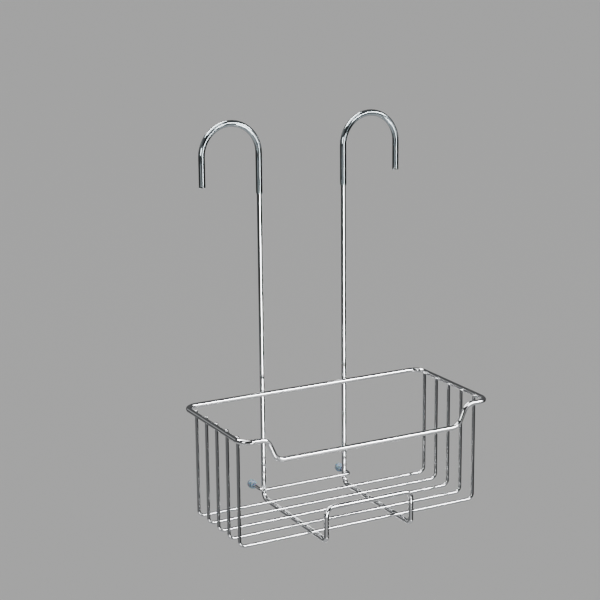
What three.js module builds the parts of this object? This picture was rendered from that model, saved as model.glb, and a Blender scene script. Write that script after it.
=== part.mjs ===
// Hook-on shower caddy: a chrome-plated wire basket that hangs from two pipes by a bent-wire hanger.
// Millimetres, +X to the right, +Y towards the wall behind, +Z up.
// The origin is midway between the two hooks, on the line where their sleeves bear on the pipes.

import * as THREE from "three";

// ---- Driving dimensions ------------------------------------------------------------------------

const FRAME_WIRE = 4.5; // diameter of the hanger frame and of the basket's rim
const BASKET_WIRE = 3; // diameter of the basket's inner wires and of the stretcher
const GAP = 0.3; // between neighbours that are welded or pushed together

const SLEEVE_WALL = 0.4; // soft sleeve over each hook
const SLEEVE_OVERHANG = 1.2; // how far a sleeve runs past the end of its wire
const SLEEVE_LOWER_END_BELOW_HOOK = 64.4; // from the top of the hook to the sleeve's end on the upright
const TIP_BELOW_HOOK = 54.7; // from the top of the hook to the sleeve's free end

const UPRIGHT_SPACING = 86.2; // between the two uprights' centrelines
const HOOK_WIDTH = 55.8; // from an upright's centreline to its hook's tip
const RIM_BELOW_HOOK = 250.6; // from the hooks' centreline at the top to the rim's centreline
const BASKET_HEIGHT = 99; // from the rim's centreline to the floor wires' centreline

const RIM_WIDTH = 247.2;
const RIM_DEPTH = 117.6;
const RIM_CORNER_RADIUS = 11;
const DIP_DEPTH = 20; // the lowered stretch of the rim at the front
const DIP_TOP_WIDTH = 200.4; // between the corners where the dip starts
const DIP_BOTTOM_WIDTH = 182.4; // between the corners where it levels out
const DIP_RADIUS = 10;

const BASKET_WIRES = 5;
const BASKET_WIRE_PITCH = 20.9;
const FIRST_WIRE_FROM_REAR = 16.8; // from the rim's rear wire to the first basket wire
const BASKET_WIRE_RADIUS = 5.4; // bend between leg and floor
const WIRE_TIP_ABOVE_RIM = 1.2; // how far a leg's end stands above the rim's centreline

const FRAME_BEND_RADIUS = 7;
const SKID_TIP_RADIUS = 4; // the tighter bend from a skid up into its riser
const RISER_FROM_REAR = 116; // from the rim's rear wire to the front risers
const CROSSBAR_ABOVE_FLOOR = 26.2; // the loop at the front, above the floor wires
const STRETCHER_ABOVE_FLOOR = 5.5;
const STRETCHER_BEND_RADIUS = 4;

const BUMPER_DIAMETER = 8.6;
const BUMPER_LENGTH = 9;
const BUMPER_FACE_DIAMETER = 5.4; // the flat end that touches the wall
const BUMPER_MOUTH_DIAMETER = 6.2; // the end that the wire goes into
const BUMPER_BORE_DEPTH = 6;
const WALL_FROM_HOOKS = 20.8; // from the hooks' plane to the wall

const FRAME_SIDES = 12; // facets round a thick wire and a sleeve
const BASKET_SIDES = 8; // facets round a thin wire
const BUMPER_SIDES = 24;
const BUMPER_STEPS = 10; // along a bumper's rounded side
const BEND_STEP = Math.PI / 12; // how far each step of a bend turns
const TOLERANCE = 1e-6; // below it, two points or angles count as the same

// ---- Derived positions -------------------------------------------------------------------------

const sleeveBore = FRAME_WIRE + 2 * GAP;
const sleeveDiameter = sleeveBore + 2 * SLEEVE_WALL;
const hookTopZ = sleeveDiameter / 2;
const hookRadius = HOOK_WIDTH / 2;
const tipZ = hookTopZ - TIP_BELOW_HOOK;
const rimZ = hookTopZ - RIM_BELOW_HOOK;
const floorZ = rimZ - BASKET_HEIGHT;

const uprightX = UPRIGHT_SPACING / 2;
const tipX = uprightX + HOOK_WIDTH;
const rimRearY = -(FRAME_WIRE + GAP);
const rimFrontY = rimRearY - RIM_DEPTH;
const riserY = rimRearY - RISER_FROM_REAR;
const wireCrossing = (FRAME_WIRE + BASKET_WIRE) / 2 + GAP;
const skidZ = floorZ - wireCrossing;
const crossbarZ = floorZ + CROSSBAR_ABOVE_FLOOR;

// ---- Wires -------------------------------------------------------------------------------------

// A wire's centreline: straight runs between corners, each corner rounded to its own radius. Equal steps
// of the parameter go from one station to the next, so a straight run is one step and a bend is several.
class WirePath extends THREE.Curve {
  constructor(corners, { closed = false } = {}) {
    super();
    this.stations = [];
    const last = corners.length - 1;
    corners.forEach((corner, i) => {
      if (closed) {
        this.addBend(corners[(i || corners.length) - 1], corner, corners[i === last ? 0 : i + 1]);
      } else if (i === 0) {
        this.addEnd(corner, corners[1], 1);
      } else if (i === last) {
        this.addEnd(corner, corners[i - 1], -1);
      } else {
        this.addBend(corners[i - 1], corner, corners[i + 1]);
      }
    });
    if (closed) this.stations.push(this.stations[0]);
    this.steps = this.stations.length - 1;
  }

  addEnd(corner, neighbour, sense) {
    const tangent = neighbour.at.clone().sub(corner.at).normalize().multiplyScalar(sense);
    this.stations.push({ point: corner.at, tangent });
  }

  addBend(before, corner, after) {
    const into = corner.at.clone().sub(before.at).normalize();
    const outOf = after.at.clone().sub(corner.at).normalize();
    const turn = into.angleTo(outOf);
    const start = corner.at.clone().addScaledVector(into, -corner.radius * Math.tan(turn / 2));
    const inwards = outOf.clone().addScaledVector(into, -into.dot(outOf)).normalize();
    const steps = Math.ceil(turn / BEND_STEP - TOLERANCE);
    for (let i = 0; i <= steps; i++) {
      const angle = (turn * i) / steps;
      const point = start
        .clone()
        .addScaledVector(into, corner.radius * Math.sin(angle))
        .addScaledVector(inwards, corner.radius * (1 - Math.cos(angle)));
      const tangent = into
        .clone()
        .multiplyScalar(Math.cos(angle))
        .addScaledVector(inwards, Math.sin(angle));
      const previous = this.stations.at(-1);
      if (!previous || previous.point.distanceTo(point) > TOLERANCE) {
        this.stations.push({ point, tangent });
      }
    }
  }

  getPoint(t, target = new THREE.Vector3()) {
    const place = t * this.steps;
    const index = Math.min(Math.floor(place + TOLERANCE), this.steps - 1);
    return target.lerpVectors(
      this.stations[index].point,
      this.stations[index + 1].point,
      place - index,
    );
  }

  getPointAt(u, target) {
    return this.getPoint(u, target);
  }

  getTangentAt(u, target = new THREE.Vector3()) {
    return target.copy(this.stations[Math.round(u * this.steps)].tangent);
  }
}

const corner = (x, y, z, radius = 0) => ({ at: new THREE.Vector3(x, y, z), radius });

function circlePoints(diameter, sides) {
  return Array.from({ length: sides }, (_, i) => {
    const angle = (2 * Math.PI * i) / sides;
    return new THREE.Vector2(Math.cos(angle), Math.sin(angle)).multiplyScalar(diameter / 2);
  });
}

// A round section swept along a path, solid or with a bore.
function sweep(path, diameter, sides, bore = 0) {
  const section = new THREE.Shape(circlePoints(diameter, sides));
  if (bore) section.holes.push(new THREE.Path(circlePoints(bore, sides)));
  return new THREE.ExtrudeGeometry(section, { steps: path.steps, extrudePath: path });
}

// ---- Materials ---------------------------------------------------------------------------------

const chrome = new THREE.MeshStandardMaterial({ color: 0xdfe2e4, roughness: 0.07, metalness: 1 });
const clearSleeve = new THREE.MeshStandardMaterial({
  color: 0x9fb4bd,
  roughness: 0.2,
  metalness: 0,
  transparent: true,
  opacity: 0.45,
});
const blueSilicone = new THREE.MeshStandardMaterial({
  color: 0x7d9fbb,
  roughness: 0.4,
  metalness: 0,
  transparent: true,
  opacity: 0.8,
});

// ---- Parts -------------------------------------------------------------------------------------

const caddy = new THREE.Group();
caddy.name = "shower_caddy";

function add(name, geometry, material) {
  const mesh = new THREE.Mesh(geometry, material);
  mesh.name = name;
  caddy.add(mesh);
  return mesh;
}

// One wire makes both hooks, both uprights, both skids under the floor and the loop at the front.
function hangerFrame() {
  const half = (side) => [
    corner(side * tipX, 0, tipZ + SLEEVE_OVERHANG),
    corner(side * tipX, 0, hookTopZ, hookRadius),
    corner(side * uprightX, 0, hookTopZ, hookRadius),
    corner(side * uprightX, 0, skidZ, FRAME_BEND_RADIUS),
    corner(side * uprightX, riserY, skidZ, SKID_TIP_RADIUS),
    corner(side * uprightX, riserY, crossbarZ, FRAME_BEND_RADIUS),
  ];
  const path = new WirePath([...half(-1), ...half(1).reverse()]);
  add("hanger_frame", sweep(path, FRAME_WIRE, FRAME_SIDES), chrome);
}

// A soft tube pushed over each hook, from its tip to a little way down the upright.
function hookSleeve(name, side) {
  const path = new WirePath([
    corner(side * tipX, 0, tipZ),
    corner(side * tipX, 0, hookTopZ, hookRadius),
    corner(side * uprightX, 0, hookTopZ, hookRadius),
    corner(side * uprightX, 0, hookTopZ - SLEEVE_LOWER_END_BELOW_HOOK),
  ]);
  add(name, sweep(path, sleeveDiameter, FRAME_SIDES, sleeveBore), clearSleeve);
}

// The rim is one closed ring, with a lowered stretch at the front to reach over.
function basketRim() {
  const cornerX = RIM_WIDTH / 2;
  const dipTopX = DIP_TOP_WIDTH / 2;
  const dipBottomX = DIP_BOTTOM_WIDTH / 2;
  const dipZ = rimZ - DIP_DEPTH;
  const path = new WirePath(
    [
      corner(cornerX, rimRearY, rimZ, RIM_CORNER_RADIUS),
      corner(-cornerX, rimRearY, rimZ, RIM_CORNER_RADIUS),
      corner(-cornerX, rimFrontY, rimZ, RIM_CORNER_RADIUS),
      corner(-dipTopX, rimFrontY, rimZ, DIP_RADIUS),
      corner(-dipBottomX, rimFrontY, dipZ, DIP_RADIUS),
      corner(dipBottomX, rimFrontY, dipZ, DIP_RADIUS),
      corner(dipTopX, rimFrontY, rimZ, DIP_RADIUS),
      corner(cornerX, rimFrontY, rimZ, RIM_CORNER_RADIUS),
    ],
    { closed: true },
  );
  const ring = new THREE.TubeGeometry(path, path.steps, FRAME_WIRE / 2, FRAME_SIDES, true);
  add("basket_rim", ring, chrome);
}

// A U of thin wire: its legs stand inside the rim's side wires and its floor lies on the skids.
function basketWire(index) {
  const legX = RIM_WIDTH / 2 - wireCrossing;
  const y = rimRearY - FIRST_WIRE_FROM_REAR - index * BASKET_WIRE_PITCH;
  const tip = rimZ + WIRE_TIP_ABOVE_RIM;
  const path = new WirePath([
    corner(-legX, y, tip),
    corner(-legX, y, floorZ, BASKET_WIRE_RADIUS),
    corner(legX, y, floorZ, BASKET_WIRE_RADIUS),
    corner(legX, y, tip),
  ]);
  add(`basket_wire_${index + 1}`, sweep(path, BASKET_WIRE, BASKET_SIDES), chrome);
}

// The stretcher crosses in front of the uprights, then turns back past them to the wall.
const stretcherX = uprightX + wireCrossing;
const stretcherZ = floorZ + STRETCHER_ABOVE_FLOOR;
const bumperMouthY = WALL_FROM_HOOKS - BUMPER_LENGTH;
const boreEndY = bumperMouthY + BUMPER_BORE_DEPTH;

function rearStretcher() {
  const frontY = -wireCrossing;
  const path = new WirePath([
    corner(-stretcherX, boreEndY - GAP, stretcherZ),
    corner(-stretcherX, frontY, stretcherZ, STRETCHER_BEND_RADIUS),
    corner(stretcherX, frontY, stretcherZ, STRETCHER_BEND_RADIUS),
    corner(stretcherX, boreEndY - GAP, stretcherZ),
  ]);
  add("rear_stretcher", sweep(path, BASKET_WIRE, BASKET_SIDES), chrome);
}

// A soft cap pushed on the end of the stretcher: rounded sides, and a flat end against the wall.
function wallBumper(name, side) {
  const sides = new THREE.SplineCurve([
    new THREE.Vector2(BUMPER_MOUTH_DIAMETER / 2, bumperMouthY),
    new THREE.Vector2(BUMPER_DIAMETER / 2, WALL_FROM_HOOKS - BUMPER_LENGTH / 2),
    new THREE.Vector2(BUMPER_FACE_DIAMETER / 2, WALL_FROM_HOOKS),
  ]);
  const boreRadius = BASKET_WIRE / 2 + GAP;
  const profile = [
    new THREE.Vector2(0, boreEndY),
    new THREE.Vector2(boreRadius, boreEndY),
    new THREE.Vector2(boreRadius, bumperMouthY),
    ...sides.getPoints(BUMPER_STEPS),
    new THREE.Vector2(0, WALL_FROM_HOOKS),
  ];
  const mesh = add(name, new THREE.LatheGeometry(profile, BUMPER_SIDES), blueSilicone);
  mesh.position.set(side * stretcherX, 0, stretcherZ);
}

hangerFrame();
hookSleeve("hook_sleeve_left", -1);
hookSleeve("hook_sleeve_right", 1);
basketRim();
for (let i = 0; i < BASKET_WIRES; i++) basketWire(i);
rearStretcher();
wallBumper("wall_bumper_left", -1);
wallBumper("wall_bumper_right", 1);

export default caddy;
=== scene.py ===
"""The look of the hook-on shower caddy: smooth chrome-plated wires with their welds, clear sleeves on
the hooks and soft blue bumpers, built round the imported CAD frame.
Metres, +X to the right, +Y towards the wall behind the caddy, +Z up."""

import math
import random

import bmesh
import bpy
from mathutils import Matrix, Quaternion, Vector


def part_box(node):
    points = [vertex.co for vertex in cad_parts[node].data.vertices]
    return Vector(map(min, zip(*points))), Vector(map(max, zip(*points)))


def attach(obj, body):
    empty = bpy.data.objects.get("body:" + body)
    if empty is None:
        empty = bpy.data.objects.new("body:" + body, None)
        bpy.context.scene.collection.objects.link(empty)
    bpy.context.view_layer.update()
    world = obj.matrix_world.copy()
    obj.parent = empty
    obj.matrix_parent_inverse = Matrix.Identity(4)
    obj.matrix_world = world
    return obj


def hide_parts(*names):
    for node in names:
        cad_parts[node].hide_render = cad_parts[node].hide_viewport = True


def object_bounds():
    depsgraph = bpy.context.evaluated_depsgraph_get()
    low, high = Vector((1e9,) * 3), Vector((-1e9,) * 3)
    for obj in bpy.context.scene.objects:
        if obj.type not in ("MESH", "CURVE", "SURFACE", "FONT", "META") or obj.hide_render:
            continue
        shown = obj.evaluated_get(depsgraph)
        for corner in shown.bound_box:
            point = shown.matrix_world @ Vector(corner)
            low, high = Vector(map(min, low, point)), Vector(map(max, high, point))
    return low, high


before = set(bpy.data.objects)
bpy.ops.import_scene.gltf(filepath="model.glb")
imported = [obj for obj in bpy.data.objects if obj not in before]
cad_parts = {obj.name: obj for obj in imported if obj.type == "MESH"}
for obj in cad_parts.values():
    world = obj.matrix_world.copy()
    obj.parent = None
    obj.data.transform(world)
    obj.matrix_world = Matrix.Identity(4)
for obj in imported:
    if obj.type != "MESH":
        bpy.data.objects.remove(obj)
cad_low, cad_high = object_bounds()
MM = 0.001

# ---- Camera ------------------------------------------------------------------------------------

CAMERA_PLACE = Vector((-681.0, -1279.0, 190.0)) * MM
CAMERA_YAW = math.radians(27.93)  # to the right of +Y
CAMERA_PITCH = math.radians(13.77)  # below the horizon
CAMERA_ROLL = math.radians(-0.55)
CAMERA_LENS = 97.2
SENSOR_WIDTH = 36

camera = bpy.data.objects.new("camera", bpy.data.cameras.new("camera"))
bpy.context.scene.collection.objects.link(camera)
camera.data.sensor_width = SENSOR_WIDTH
camera.data.lens = CAMERA_LENS
camera.data.clip_start = 0.05
camera.data.clip_end = 60
camera.location = CAMERA_PLACE
camera.rotation_mode = "QUATERNION"
looking = Vector((
    math.sin(CAMERA_YAW) * math.cos(CAMERA_PITCH),
    math.cos(CAMERA_YAW) * math.cos(CAMERA_PITCH),
    -math.sin(CAMERA_PITCH),
))
camera.rotation_quaternion = looking.to_track_quat("-Z", "Y") @ Quaternion((0, 0, 1), CAMERA_ROLL)
bpy.context.scene.camera = camera

# ---- Sizes that the CAD nodes' corners don't give ----------------------------------------------

FRAME_BEND = 7 * MM  # centreline radii of the bends
SKID_TIP_BEND = 4 * MM
RIM_CORNER = 11 * MM
DIP_BEND = 10 * MM
BASKET_BEND = 5.4 * MM
STRETCHER_BEND = 4 * MM
DIP_TOP_WIDTH = 200.4 * MM
DIP_BOTTOM_WIDTH = 182.4 * MM
SLEEVE_BORE_CLEARANCE = 0.05 * MM
BEND_STEP = math.radians(4)
THICK_SIDES = 40
THIN_SIDES = 32

# ---- Positions from the CAD nodes --------------------------------------------------------------


def farthest(node, axis, sense, keep):
    """The largest (sense 1) or smallest (-1) coordinate of a node's vertices that pass keep."""
    values = [v.co[axis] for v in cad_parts[node].data.vertices if keep(v.co)]
    return max(values) if sense > 0 else min(values)


frame_low, frame_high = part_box("hanger_frame")
sleeve_low, sleeve_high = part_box("hook_sleeve_right")
rim_low, rim_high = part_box("basket_rim")
wire_low, wire_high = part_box("basket_wire_1")
stretcher_low, stretcher_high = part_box("rear_stretcher")

frame_radius = frame_high.y
sleeve_radius = sleeve_high.y
wire_radius = (wire_high.y - wire_low.y) / 2
tip_x = frame_high.x - frame_radius
upright_x = sleeve_low.x + sleeve_radius
hook_z = frame_high.z - frame_radius
hook_radius = (tip_x - upright_x) / 2
hook_middle_x = (tip_x + upright_x) / 2
wire_tip_z = farthest("hanger_frame", 2, -1, lambda p: p.x > hook_middle_x)
sleeve_tip_z = farthest("hook_sleeve_right", 2, -1, lambda p: p.x > hook_middle_x)
skid_z = frame_low.z + frame_radius
riser_y = frame_low.y + frame_radius
crossbar_z = farthest("hanger_frame", 2, 1, lambda p: p.y < riser_y) - frame_radius
rim_z = rim_high.z - frame_radius
dip_z = rim_low.z + frame_radius
rim_rear_y = rim_high.y - frame_radius
rim_front_y = rim_low.y + frame_radius
rim_x = rim_high.x - frame_radius
leg_x = wire_high.x - wire_radius
floor_z = wire_low.z + wire_radius
stretcher_x = stretcher_high.x - wire_radius
stretcher_y = stretcher_low.y + wire_radius
stretcher_z = (stretcher_low.z + stretcher_high.z) / 2
wire_names = [f"basket_wire_{number}" for number in range(1, 6)]
wire_ys = [sum(corner.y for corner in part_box(name)) / 2 for name in wire_names]

# ---- Node helpers ------------------------------------------------------------------------------


class Nodes:
    """A node tree with short calls for adding and joining nodes."""

    def __init__(self, tree):
        self.tree = tree
        tree.nodes.clear()

    def add(self, kind, inputs=(), **settings):
        node = self.tree.nodes.new(kind)
        for name, value in settings.items():
            setattr(node, name, value)
        for socket, value in dict(inputs).items():
            self.feed(node.inputs[socket], value)
        return node

    def feed(self, socket, value):
        if isinstance(value, bpy.types.NodeSocket):
            self.tree.links.new(value, socket)
        else:
            socket.default_value = value

    def math(self, operation, *values):
        return self.add("ShaderNodeMath", enumerate(values), operation=operation).outputs[0]

    def ramp(self, value, low, high, to_low=0.0, to_high=1.0):
        """Maps value from low..high smoothly to to_low..to_high, and holds it outside."""
        node = self.add(
            "ShaderNodeMapRange",
            {"Value": value, "From Min": low, "From Max": high, "To Min": to_low, "To Max": to_high},
            interpolation_type="SMOOTHSTEP",
            clamp=True,
        )
        return node.outputs["Result"]

    def window(self, value, low, high, soft):
        """1 between low and high, 0 outside, with soft edges."""
        rise = self.ramp(value, low - soft, low + soft)
        fall = self.ramp(value, high - soft, high + soft, 1, 0)
        return self.math("MULTIPLY", rise, fall)

    def mix(self, factor, one, two):
        """The number one where factor is 0, and two where it is 1."""
        node = self.add("ShaderNodeMix", {0: factor, 2: one, 3: two}, data_type="FLOAT")
        return node.outputs[0]


def new_material(name):
    material = bpy.data.materials.new(name)
    material.use_nodes = True
    nodes = Nodes(material.node_tree)
    shader = nodes.add("ShaderNodeBsdfPrincipled")
    nodes.add("ShaderNodeOutputMaterial", {"Surface": shader.outputs[0]})
    return material, nodes, shader


# ---- Materials ---------------------------------------------------------------------------------

# Noise scales, per metre
WIRE_WAVES, PLATE_GRAIN = 90.0, 1400.0
TUBE_CLOUDS = 260.0
RUBBER_CLOUDS, RUBBER_SKIN = 420.0, 3000.0

# Base colours, from the darkest to the palest stretches
CHROME_TINTS = (0.80, 0.81, 0.825), (0.87, 0.875, 0.88)
TUBE_TINTS = (0.76, 0.82, 0.84), (0.85, 0.90, 0.915)
RUBBER_TINTS = (0.22, 0.30, 0.38), (0.33, 0.42, 0.51)


def noise(nodes, scale, detail):
    place = nodes.add("ShaderNodeTexCoord").outputs["Object"]
    texture = nodes.add("ShaderNodeTexNoise", {"Vector": place, "Scale": scale, "Detail": detail})
    return texture.outputs["Fac"]


def tinted(nodes, factor, tints, low=0.0, high=1.0):
    """The first tint where factor is low, and the second where it is high."""
    node = nodes.add("ShaderNodeValToRGB", {"Fac": factor})
    for element, position, tint in zip(node.color_ramp.elements, (low, high), tints):
        element.position = position
        element.color = (*tint, 1)
    return node.outputs["Color"]


def bumped(nodes, height, strength, distance):
    bump = nodes.add("ShaderNodeBump", {"Height": height, "Strength": strength, "Distance": distance})
    return bump.outputs["Normal"]


def chrome(name, ripple, haze, tone=1.0):
    """Chrome plate: a near mirror, with a faint long ripple from the drawn wire and a little haze."""
    material, nodes, shader = new_material(name)
    broad = noise(nodes, WIRE_WAVES, 2.0)
    fine = noise(nodes, PLATE_GRAIN, 3.0)
    tints = [[part * tone for part in tint] for tint in CHROME_TINTS]
    nodes.feed(shader.inputs["Base Color"], tinted(nodes, broad, tints, 0.35, 0.65))
    nodes.feed(shader.inputs["Metallic"], 1.0)
    nodes.feed(shader.inputs["Roughness"], nodes.ramp(fine, 0.35, 0.7, haze, haze * 2))
    height = nodes.math("ADD", broad, nodes.math("MULTIPLY", fine, 0.05))
    nodes.feed(shader.inputs["Normal"], bumped(nodes, height, ripple, 0.3 * MM))
    return material


def clear_plastic():
    """Soft clear tube with a slight grey-blue tint and faint draw marks."""
    material, nodes, shader = new_material("clear_sleeve")
    cloud = noise(nodes, TUBE_CLOUDS, 3.0)
    nodes.feed(shader.inputs["Base Color"], tinted(nodes, cloud, TUBE_TINTS))
    nodes.feed(shader.inputs["Transmission Weight"], 1.0)
    nodes.feed(shader.inputs["IOR"], 1.5)
    nodes.feed(shader.inputs["Roughness"], nodes.ramp(cloud, 0.3, 0.7, 0.01, 0.04))
    nodes.feed(shader.inputs["Normal"], bumped(nodes, cloud, 0.05, 0.3 * MM))
    return material


def blue_silicone():
    """Milky blue-grey rubber, part see-through, with a fine moulded skin."""
    material, nodes, shader = new_material("blue_bumper")
    cloud = noise(nodes, RUBBER_CLOUDS, 4.0)
    skin = noise(nodes, RUBBER_SKIN, 2.0)
    nodes.feed(shader.inputs["Base Color"], tinted(nodes, cloud, RUBBER_TINTS, 0.3, 0.7))
    nodes.feed(shader.inputs["Transmission Weight"], 0.35)
    nodes.feed(shader.inputs["Subsurface Weight"], 0.4)
    nodes.feed(shader.inputs["Subsurface Scale"], 2 * MM)
    nodes.feed(shader.inputs["IOR"], 1.42)
    nodes.feed(shader.inputs["Roughness"], nodes.ramp(skin, 0.3, 0.7, 0.25, 0.4))
    nodes.feed(shader.inputs["Normal"], bumped(nodes, skin, 0.2, 0.1 * MM))
    return material


frame_chrome = chrome("frame_chrome", ripple=0.02, haze=0.012)
rim_chrome = chrome("rim_chrome", ripple=0.02, haze=0.012)
basket_chrome = chrome("basket_chrome", ripple=0.02, haze=0.015)
weld_chrome = chrome("weld_chrome", ripple=0.2, haze=0.04, tone=0.72)
clear_sleeve = clear_plastic()
blue_bumper = blue_silicone()

# ---- Wires -------------------------------------------------------------------------------------

STRAIGHT_RUN = 2.5 * MM  # longer than any step round a bend
RUN_SUPPORT = 0.25 * MM  # from the end of a straight run to the ring that holds it straight
SAME_POINT = 0.001 * MM
EDGE_STEP = 15  # degrees
END_ROUNDING = 0.5  # of a wire's radius


def route(corners, closed=False):
    """Points along a wire's centreline, from its corners (x, y, z, bend radius)."""
    points = []
    for i, (*place, radius) in enumerate(corners):
        place = Vector(place)
        if not closed and i in (0, len(corners) - 1):
            points.append(place)
            continue
        into = (place - Vector(corners[i - 1][:3])).normalized()
        out = (Vector(corners[(i + 1) % len(corners)][:3]) - place).normalized()
        turn = into.angle(out)
        start = place - into * radius * math.tan(turn / 2)
        inwards = (out - into * into.dot(out)).normalized()
        steps = math.ceil(turn / BEND_STEP)
        for k in range(steps + 1):
            angle = turn * k / steps
            point = start + radius * (into * math.sin(angle) + inwards * (1 - math.cos(angle)))
            if not points or (points[-1] - point).length > SAME_POINT:
                points.append(point)
    return points


def axes_along(points, closed):
    """The direction and two normals at each point, turning no more than the bends make them."""
    last = len(points) - 1
    axes = []
    for i, point in enumerate(points):
        behind = points[i - 1] if closed or i else points[0]
        ahead = points[(i + 1) % len(points)] if closed or i < last else points[last]
        direction = ((point - behind).normalized() + (ahead - point).normalized()).normalized()
        if axes:
            normal = axes[-1][0].rotation_difference(direction) @ axes[-1][1]
        else:
            normal = direction.orthogonal()
        normal = (normal - direction * normal.dot(direction)).normalized()
        axes.append((direction, normal, direction.cross(normal)))
    return axes


def add_ring(bm, centre, axes, radius, sides):
    _, normal, other = axes
    turns = (2 * math.pi * k / sides for k in range(sides))
    return [bm.verts.new(centre + radius * (normal * math.cos(a) + other * math.sin(a))) for a in turns]


def join_rings(bm, rings, closed=False):
    pairs = list(zip(rings, rings[1:])) + ([(rings[-1], rings[0])] if closed else [])
    for one, two in pairs:
        for k in range(len(one)):
            j = (k + 1) % len(one)
            bm.faces.new((one[k], one[j], two[j], two[k]))


def held_straight(points, closed=False):
    """The points, with one more near each end of a straight run, so that its shading doesn't bow."""
    result = []
    for one, two in zip(points, points[1:] + points[:1]):
        result.append(one)
        run = two - one
        if run.length > STRAIGHT_RUN and (closed or two is not points[0]):
            step = run.normalized() * RUN_SUPPORT
            result += [one + step, two - step]
    return result


def shortened(points, length):
    """The points, with both ends drawn in by length."""
    first = points[0] + (points[1] - points[0]).normalized() * length
    last = points[-1] + (points[-2] - points[-1]).normalized() * length
    return [first, *points[1:-1], last]


def quarter_round(radius):
    """(along, across) from 0, 0 round a convex quarter circle, towards the end and then inwards."""
    angles = [math.radians(EDGE_STEP * k) for k in range(1, 90 // EDGE_STEP + 1)]
    return [(radius * math.sin(a), radius * (1 - math.cos(a))) for a in angles]


def add_wire(bm, points, radius, sides, closed=False):
    """A round wire along the points. Open ends are rounded over."""
    if closed:
        path = held_straight(points, closed=True)
        axes = axes_along(path, closed=True)
        join_rings(bm, [add_ring(bm, p, a, radius, sides) for p, a in zip(path, axes)], closed=True)
        return
    fillet = END_ROUNDING * radius
    path = held_straight(shortened(points, fillet))
    axes = axes_along(path, closed=False)
    sections = [(p, a, radius) for p, a in zip(path, axes)]
    for along, across in quarter_round(fillet):
        sections.insert(0, (path[0] - axes[0][0] * along, axes[0], radius - across))
        sections.append((path[-1] + axes[-1][0] * along, axes[-1], radius - across))
    rings = [add_ring(bm, centre, at, size, sides) for centre, at, size in sections]
    join_rings(bm, rings)
    bm.faces.new(rings[0])
    bm.faces.new(rings[-1])


pieces = []


def make_piece(name, bm, material, slot, *replaced):
    """A smooth-shaded object from the bmesh, riding on the one body."""
    bmesh.ops.recalc_face_normals(bm, faces=bm.faces)
    mesh = bpy.data.meshes.new(name)
    bm.to_mesh(mesh)
    bm.free()
    mesh.shade_smooth()
    mesh.materials.append(material)
    piece = bpy.data.objects.new(name, mesh)
    bpy.context.scene.collection.objects.link(piece)
    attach(piece, "root")
    if replaced:
        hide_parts(*replaced)
    pieces.append(piece)
    return piece


def hanger_wire():
    def half(side):
        return [
            (side * tip_x, 0, wire_tip_z, 0),
            (side * tip_x, 0, hook_z, hook_radius),
            (side * upright_x, 0, hook_z, hook_radius),
            (side * upright_x, 0, skid_z, FRAME_BEND),
            (side * upright_x, riser_y, skid_z, SKID_TIP_BEND),
            (side * upright_x, riser_y, crossbar_z, FRAME_BEND),
        ]

    bm = bmesh.new()
    add_wire(bm, route(half(-1) + half(1)[::-1]), frame_radius, THICK_SIDES)
    return make_piece("hanger_wire", bm, frame_chrome, "frame_chrome", "hanger_frame")


def rim_wire():
    dip_top_x, dip_bottom_x = DIP_TOP_WIDTH / 2, DIP_BOTTOM_WIDTH / 2
    corners = [
        (rim_x, rim_rear_y, rim_z, RIM_CORNER),
        (-rim_x, rim_rear_y, rim_z, RIM_CORNER),
        (-rim_x, rim_front_y, rim_z, RIM_CORNER),
        (-dip_top_x, rim_front_y, rim_z, DIP_BEND),
        (-dip_bottom_x, rim_front_y, dip_z, DIP_BEND),
        (dip_bottom_x, rim_front_y, dip_z, DIP_BEND),
        (dip_top_x, rim_front_y, rim_z, DIP_BEND),
        (rim_x, rim_front_y, rim_z, RIM_CORNER),
    ]
    bm = bmesh.new()
    add_wire(bm, route(corners, closed=True), frame_radius, THICK_SIDES, closed=True)
    return make_piece("rim_wire", bm, rim_chrome, "rim_chrome", "basket_rim")


def basket_wire(name, y):
    corners = [
        (-leg_x, y, wire_high.z, 0),
        (-leg_x, y, floor_z, BASKET_BEND),
        (leg_x, y, floor_z, BASKET_BEND),
        (leg_x, y, wire_high.z, 0),
    ]
    bm = bmesh.new()
    add_wire(bm, route(corners), wire_radius, THIN_SIDES)
    return make_piece(name.replace("basket", "smooth"), bm, basket_chrome, "basket_chrome", name)


def stretcher_wire():
    corners = [
        (-stretcher_x, stretcher_high.y, stretcher_z, 0),
        (-stretcher_x, stretcher_y, stretcher_z, STRETCHER_BEND),
        (stretcher_x, stretcher_y, stretcher_z, STRETCHER_BEND),
        (stretcher_x, stretcher_high.y, stretcher_z, 0),
    ]
    bm = bmesh.new()
    add_wire(bm, route(corners), wire_radius, THIN_SIDES)
    return make_piece("stretcher_wire", bm, basket_chrome, "basket_chrome", "rear_stretcher")


hanger = hanger_wire()
rim = rim_wire()
for wire_name, wire_y in zip(wire_names, wire_ys):
    basket_wire(wire_name, wire_y)
stretcher_wire()

# ---- Welds -------------------------------------------------------------------------------------

WELD_TURNS = 28
WELD_STEPS = 8
WELD_WAIST = 0.55  # of the reach, halfway between the wires
WELD_SINK = 0.06 * MM  # how far a weld goes into each wire
WAVE_DEPTHS = {2: 0.10, 5: 0.05}  # unevenness of the outline, by waves to a turn
THIN_WELD = 0.95 * MM  # reach where a thin wire crosses
THICK_WELD = 1.3 * MM
REACH_SPREAD = 0.88, 1.12
chance = random.Random(7)


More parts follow.
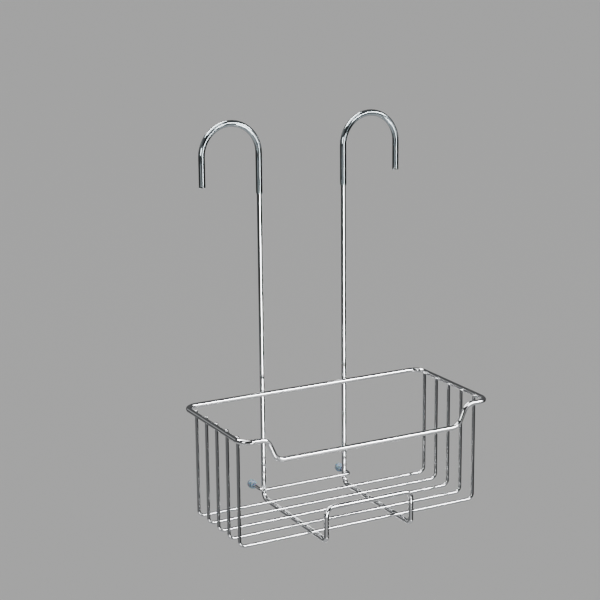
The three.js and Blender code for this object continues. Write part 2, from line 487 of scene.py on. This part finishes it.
def add_weld(bm, one, two, along_one, along_two, radius_one, radius_two, reach):
    """The fillet between two crossing wires, out to where the gap between them is reach."""
    normal = (two - one).normalized()
    distance = (two - one).length
    side = normal.cross(along_one)

    def heights(p, q):
        low = math.sqrt(max(radius_one**2 - q**2, 0))
        across = p * along_one + q * side
        off = (across - along_two * across.dot(along_two)).length
        high = distance - math.sqrt(max(radius_two**2 - off**2, 0))
        return low, high

    def foot(turn, gap):
        near, far = 0.0, 2 * max(radius_one, radius_two)
        for _ in range(30):
            middle = (near + far) / 2
            low, high = heights(middle * math.cos(turn), middle * math.sin(turn))
            near, far = (middle, far) if high - low < gap else (near, middle)
        return near

    rings = [[] for _ in range(WELD_STEPS + 1)]
    phase = chance.uniform(0, 2 * math.pi)
    for k in range(WELD_TURNS):
        turn = 2 * math.pi * k / WELD_TURNS
        uneven = 1 + WAVE_DEPTHS[2] * math.sin(2 * turn + phase)
        uneven += WAVE_DEPTHS[5] * math.sin(5 * turn + 2 * phase)
        outer = foot(turn, reach * uneven)
        inner = foot(turn, WELD_WAIST * reach * uneven)
        for step in range(WELD_STEPS + 1):
            t = step / WELD_STEPS
            spread = outer - (outer - inner) * math.sin(math.pi * t)
            p, q = spread * math.cos(turn), spread * math.sin(turn)
            low, high = heights(p, q)
            height = (low - WELD_SINK) * (1 - t) + (high + WELD_SINK) * t
            rings[step].append(bm.verts.new(one + along_one * p + side * q + normal * height))
    join_rings(bm, rings)
    bm.faces.new(rings[0])
    bm.faces.new(rings[-1])


X, Y, Z = Vector((1, 0, 0)), Vector((0, 1, 0)), Vector((0, 0, 1))


def make_welds(name, slot, crossings):
    bm = bmesh.new()
    for one, two, along_one, along_two, radius_one, radius_two, reach in crossings:
        add_weld(
            bm, Vector(one), Vector(two), along_one, along_two, radius_one, radius_two,
            reach * chance.uniform(*REACH_SPREAD),
        )
    return make_piece(name, bm, weld_chrome, slot)


leg_welds, floor_welds, upright_welds = [], [], []
for y in wire_ys:
    for side in (-1, 1):
        leg_welds.append((
            (side * rim_x, y, rim_z), (side * leg_x, y, rim_z), Y, Z,
            frame_radius, wire_radius, THIN_WELD,
        ))
        floor_welds.append((
            (side * upright_x, y, skid_z), (side * upright_x, y, floor_z), Y, X,
            frame_radius, wire_radius, THIN_WELD,
        ))
for side in (-1, 1):
    upright_welds.append((
        (side * upright_x, 0, rim_z), (side * upright_x, rim_rear_y, rim_z), Z, X,
        frame_radius, frame_radius, THICK_WELD,
    ))
    upright_welds.append((
        (side * upright_x, 0, stretcher_z), (side * upright_x, stretcher_y, stretcher_z), Z, X,
        frame_radius, wire_radius, THIN_WELD,
    ))
make_welds("leg_welds", "rim_chrome", leg_welds)
make_welds("floor_welds", "frame_chrome", floor_welds)
make_welds("upright_welds", "frame_chrome", upright_welds)

# ---- Hook sleeves ------------------------------------------------------------------------------

SLEEVE_LIP = 0.18 * MM  # rounding of the cut ends


def hook_sleeve(name, side):
    points = route([
        (side * tip_x, 0, sleeve_tip_z, 0),
        (side * tip_x, 0, hook_z, hook_radius),
        (side * upright_x, 0, hook_z, hook_radius),
        (side * upright_x, 0, sleeve_low.z, 0),
    ])
    path = held_straight(shortened(points, SLEEVE_LIP))
    axes = axes_along(path, closed=False)
    bore = frame_radius + SLEEVE_BORE_CLEARANCE
    lip = quarter_round(SLEEVE_LIP)
    sections = [(p, a, sleeve_radius) for p, a in zip(path, axes)]
    for along, across in lip:
        sections.append((path[-1] + axes[-1][0] * along, axes[-1], sleeve_radius - across))
    for along, across in reversed(lip):
        sections.append((path[-1] + axes[-1][0] * along, axes[-1], bore + across))
    sections += [(p, a, bore) for p, a in reversed(list(zip(path, axes)))]
    for along, across in lip:
        sections.append((path[0] - axes[0][0] * along, axes[0], bore + across))
    for along, across in reversed(lip):
        sections.append((path[0] - axes[0][0] * along, axes[0], sleeve_radius - across))
    bm = bmesh.new()
    rings = [add_ring(bm, centre, at, size, THICK_SIDES) for centre, at, size in sections]
    join_rings(bm, rings, closed=True)
    return make_piece(f"{name}_tube", bm, clear_sleeve, "clear_sleeve", name)


sleeves = [hook_sleeve("hook_sleeve_left", -1), hook_sleeve("hook_sleeve_right", 1)]

# ---- Wall bumpers ------------------------------------------------------------------------------

BUMPER_SIDES = 48


def bumper(name):
    """A moulded cap: rolled lip where the wire goes in, full sides, and a flat end for the wall."""
    low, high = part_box(name)
    middle = (low + high) / 2
    length, widest = high.y - low.y, (high.x - low.x) / 2
    bore = wire_radius + 0.1 * MM
    outline = [
        (0.64, 0, bore), (0.04, 0, bore), (0.0, 0.32, bore), (0.0, 0.62, bore),
        (0.035, 0.72, 0), (0.09, 0.76, 0), (0.14, 0.75, 0), (0.18, 0.78, 0), (0.24, 0.87, 0),
        (0.32, 0.95, 0), (0.42, 0.995, 0), (0.52, 1.0, 0), (0.62, 0.98, 0), (0.72, 0.93, 0),
        (0.81, 0.86, 0), (0.89, 0.77, 0), (0.95, 0.68, 0), (0.985, 0.60, 0), (1.0, 0.52, 0),
        (1.0, 0.40, 0), (1.0, 0.2, 0),
    ]
    bm = bmesh.new()
    rings = []
    for along, share, inner in outline:
        radius = inner + (widest - inner) * share if inner else widest * share
        centre = Vector((middle.x, low.y + along * length, middle.z))
        rings.append(add_ring(bm, centre, (Y, X, Z), radius, BUMPER_SIDES))
    join_rings(bm, rings)
    bm.faces.new(rings[0])
    bm.faces.new(rings[-1])
    return make_piece(f"{name}_cap", bm, blue_bumper, "blue_bumper", name)


bumper("wall_bumper_left")
bumper("wall_bumper_right")

# ---- Floor and light ---------------------------------------------------------------------------

FLOOR_BELOW = 0.55  # the caddy hangs this far above the floor
FLOOR_RADIUS = 30
FLOOR_COLOUR = 0.78, 0.78, 0.772, 1
FLOOR_SUN = 1.6
FLOOR_SUN_ANGLE = math.radians(40)
BASKET_MIDDLE = Vector((0, (rim_front_y + rim_rear_y) / 2, (rim_z + floor_z) / 2))


def pale_floor():
    """A plain floor that the wires don't mirror and that isn't seen through the clear pieces."""
    bm = bmesh.new()
    bmesh.ops.create_circle(bm, cap_ends=True, segments=96, radius=FLOOR_RADIUS)
    mesh = bpy.data.meshes.new("floor")
    bm.to_mesh(mesh)
    bm.free()
    material, nodes, shader = new_material("floor")
    nodes.feed(shader.inputs["Base Color"], FLOOR_COLOUR)
    nodes.feed(shader.inputs["Roughness"], 0.95)
    mesh.materials.append(material)
    floor = bpy.data.objects.new("floor", mesh)
    bpy.context.scene.collection.objects.link(floor)
    floor.location.z = cad_low.z - FLOOR_BELOW
    floor.visible_glossy = False
    floor.visible_shadow = False
    floor.visible_transmission = False
    return floor


def aimed_lamp(light, place, target, receivers):
    """The light as an object at place, turned to target, that lights only the receivers."""
    lamp = bpy.data.objects.new(light.name, light)
    bpy.context.scene.collection.objects.link(lamp)
    lamp.location = place
    lamp.rotation_mode = "QUATERNION"
    lamp.rotation_quaternion = (Vector(target) - Vector(place)).to_track_quat("-Z", "Y")
    lamp.visible_camera = False
    group = bpy.data.collections.new(f"{light.name}_receivers")
    for piece in receivers:
        group.objects.link(piece)
    lamp.light_linking.receiver_collection = group


def softbox(name, round_, up, distance, width, height, radiance, receivers):
    """A rectangular light seen from the basket at round_ and up degrees, facing it."""
    around, above = math.radians(round_), math.radians(up)
    level = math.cos(above)
    towards = Vector((math.sin(around) * level, -math.cos(around) * level, math.sin(above)))
    light = bpy.data.lights.new(name, "AREA")
    light.shape = "RECTANGLE"
    light.size, light.size_y = width, height
    light.energy = radiance * math.pi * width * height
    aimed_lamp(light, BASKET_MIDDLE + towards * distance, BASKET_MIDDLE, receivers)


def floor_light(floor):
    light = bpy.data.lights.new("floor_light", "SUN")
    light.energy = FLOOR_SUN
    light.angle = FLOOR_SUN_ANGLE
    aimed_lamp(light, (-1, -1, 3), (0, 0, 0), [floor])


# The room that the chrome mirrors. Spans are in degrees: round the vertical from the front (-Y) towards
# the right (+X), and up from the horizon.
HORIZON = -6, -4
NEAR_FLOOR, LEVEL = 0.145, 0.04  # brightness low down, and just under the horizon
NEAR_FLOOR_TO_LEVEL = -19, -11
DARK_CORNER, DARK_CORNER_ROUND = 0.012, (20, 120)
UNDERFOOT, UNDERFOOT_BELOW = 0.45, (-36, -26)
WALLS = 0.10
PALE_WALL, PALE_WALL_ROUND = 0.75, (10, 75)
CEILING, WALLS_TO_CEILING = 0.09, (22, 27)
DOORWAY, DOORWAY_ROUND, DOORWAY_TOP = 0.01, (-48, 8), (32, 38)
REAR_PANEL, REAR_PANEL_ROUND, REAR_PANEL_UP = 0.5, (-164, -142), (8, 20)
DAYLIGHT = 0.97, 0.985, 1.0, 1


def studio_world():
    """A dim room with a pale wall to the front right, and dark stretches that draw lines on the chrome."""
    world = bpy.data.worlds.new("studio")
    bpy.context.scene.world = world
    world.use_nodes = True
    nodes = Nodes(world.node_tree)
    direction = nodes.add("ShaderNodeTexCoord").outputs["Generated"]
    parts = nodes.add("ShaderNodeSeparateXYZ", {"Vector": direction}).outputs
    up = nodes.math("MULTIPLY", nodes.math("ARCSINE", parts["Z"]), math.degrees(1))
    front = nodes.math("MULTIPLY", parts["Y"], -1.0)
    round_ = nodes.math("MULTIPLY", nodes.math("ARCTAN2", parts["X"], front), math.degrees(1))

    low = nodes.ramp(up, *NEAR_FLOOR_TO_LEVEL, NEAR_FLOOR, LEVEL)
    low = nodes.mix(nodes.window(round_, *DARK_CORNER_ROUND, 6), low, DARK_CORNER)
    low = nodes.mix(nodes.ramp(up, *UNDERFOOT_BELOW, 1, 0), low, UNDERFOOT)
    high = nodes.mix(nodes.window(round_, *PALE_WALL_ROUND, 5), WALLS, PALE_WALL)
    high = nodes.mix(nodes.ramp(up, *WALLS_TO_CEILING), high, CEILING)
    doorway = nodes.window(round_, *DOORWAY_ROUND, 4)
    doorway = nodes.math("MULTIPLY", doorway, nodes.ramp(up, *DOORWAY_TOP, 1, 0))
    high = nodes.mix(doorway, high, DOORWAY)
    panel = nodes.window(round_, *REAR_PANEL_ROUND, 5)
    panel = nodes.math("MULTIPLY", panel, nodes.window(up, *REAR_PANEL_UP, 4))
    high = nodes.mix(panel, high, REAR_PANEL)
    value = nodes.mix(nodes.ramp(up, *HORIZON), low, high)
    background = nodes.add("ShaderNodeBackground", {"Color": DAYLIGHT, "Strength": value})
    nodes.add("ShaderNodeOutputWorld", {"Surface": background.outputs[0]})


studio_world()
floor_light(pale_floor())

# Each light: name, degrees round and up, distance, width, height, radiance, and the pieces it lights.
SOFTBOXES = [
    ("top_softbox", 36, 33, 1.9, 2.0, 0.36, 40, pieces),
    ("overhead_softbox", -70, 72, 1.7, 0.6, 1.2, 2.5, pieces),
    ("left_softbox", -62, 15, 1.5, 0.46, 0.42, 9, pieces),
    ("low_glint", -3, -32, 1.6, 0.5, 0.2, 9, pieces),
    ("back_softbox", -160, 54, 1.6, 1.5, 0.45, 14, pieces),
    ("front_strip", -4, -13.6, 4.46, 1.8, 1.18, 22, [hanger]),
    ("riser_fill", -10, -24.8, 3.2, 8.0, 0.5, 0.26, [hanger]),
    ("bend_glint", -75, 44, 1.6, 0.8, 0.3, 8, [hanger]),
    ("back_strip", 151, -18, 1.5, 0.3, 0.7, 8, [hanger]),
    ("rim_fill", 28, -12, 1.6, 0.42, 1.8, 0.85, [rim]),
    ("slant_glint", -3, -25, 1.6, 0.5, 0.26, 7, [rim]),
    ("sleeve_strip", 18, -8, 1.35, 0.24, 0.8, 14, sleeves),
    ("sleeve_fill", -70, -8, 1.35, 1.1, 0.5, 0.36, sleeves),
]
for settings in SOFTBOXES:
    softbox(*settings)
